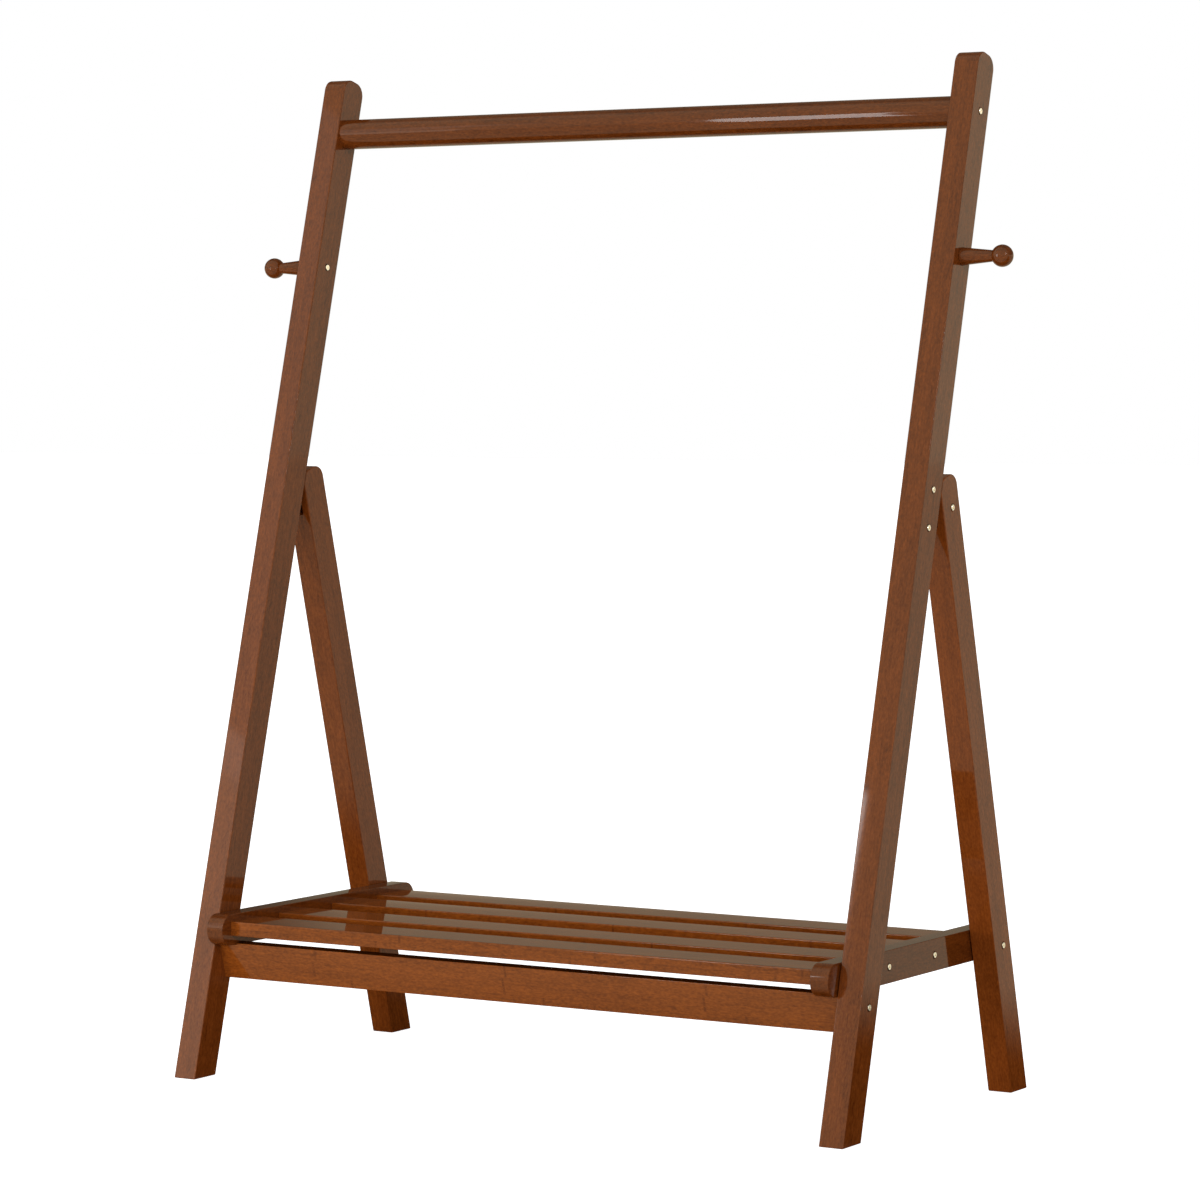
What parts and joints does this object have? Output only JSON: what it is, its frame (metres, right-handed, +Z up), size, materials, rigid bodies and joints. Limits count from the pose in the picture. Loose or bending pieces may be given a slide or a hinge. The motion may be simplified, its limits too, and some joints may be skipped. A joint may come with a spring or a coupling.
{
  "type": "clothes rack",
  "caption": "Folding clothes rack in lacquered bamboo: leaning long legs with a round hanging rod and side pegs, propped by rear legs, with a slatted shelf near the floor.",
  "frame": {"origin": "on the floor, in the middle of the rack's width and depth", "axes": "+X to the right seen from the front, along the hanging rod; +Y to the back; +Z up"},
  "size_m": [1.1956, 0.539, 1.402],
  "materials": {
    "bamboo_lacquered": "carbonised bamboo under glossy clear lacquer",
    "bamboo_raw": "carbonised bamboo, thinly sealed",
    "fastener_brass": "satin, pale brass plating",
    "insert_zinc": "zinc plated",
    "washer_fibre": "dark brown fibre"
  },
  "bodies": {
    "front_frame": {"long_leg_left": "bamboo_lacquered", "long_leg_right": "bamboo_lacquered", "hanging_rod": "bamboo_lacquered", "front_stretcher": "bamboo_lacquered", "stretcher_strip": "bamboo_lacquered", "peg_left": "bamboo_lacquered", "peg_right": "bamboo_lacquered", "hinge_tongue_left": "bamboo_raw", "hinge_tongue_right": "bamboo_raw", "tongue_bolts_left": "fastener_brass", "tongue_bolts_right": "fastener_brass", "tongue_inserts_left": "insert_zinc", "tongue_inserts_right": "insert_zinc", "rod_bolt_left": "fastener_brass", "rod_bolt_right": "fastener_brass", "rod_insert_left": "insert_zinc", "rod_insert_right": "insert_zinc", "peg_bolt_left": "fastener_brass", "peg_bolt_right": "fastener_brass", "peg_insert_left": "insert_zinc", "peg_insert_right": "insert_zinc", "stretcher_bolt_left": "fastener_brass", "stretcher_bolt_right": "fastener_brass", "stretcher_insert_left": "insert_zinc", "stretcher_insert_right": "insert_zinc", "stretcher_dowel_left": "bamboo_raw", "stretcher_dowel_right": "bamboo_raw"},
    "rear_legs": {"rear_leg_left": "bamboo_lacquered", "rear_leg_right": "bamboo_lacquered", "pivot_bolt_left": "fastener_brass", "pivot_bolt_right": "fastener_brass", "pivot_insert_left": "insert_zinc", "pivot_insert_right": "insert_zinc"},
    "shelf": {"shelf_rail_left": "bamboo_lacquered", "shelf_rail_right": "bamboo_lacquered", "shelf_slat_1": "bamboo_lacquered", "shelf_slat_2": "bamboo_lacquered", "shelf_slat_3": "bamboo_lacquered", "shelf_slat_4": "bamboo_lacquered", "shelf_bolt_left": "fastener_brass", "shelf_bolt_right": "fastener_brass", "shelf_insert_left": "insert_zinc", "shelf_insert_right": "insert_zinc", "shelf_washer_left": "washer_fibre", "shelf_washer_right": "washer_fibre", "slat_screws_left": "fastener_brass", "slat_screws_right": "fastener_brass"}
  },
  "joints": [
    {"name": "rear_legs_fold", "type": "hinge", "parent": "front_frame", "child": "rear_legs", "pos_m": [0, 0.03254, 0.80128], "axis": [-1, 0, 0], "range_deg": [0, 30]},
    {"name": "shelf_fold", "type": "hinge", "parent": "rear_legs", "child": "shelf", "pos_m": [0, 0.19224, 0.20525], "axis": [-1, 0, 0], "range_deg": [0, 75]}
  ]
}
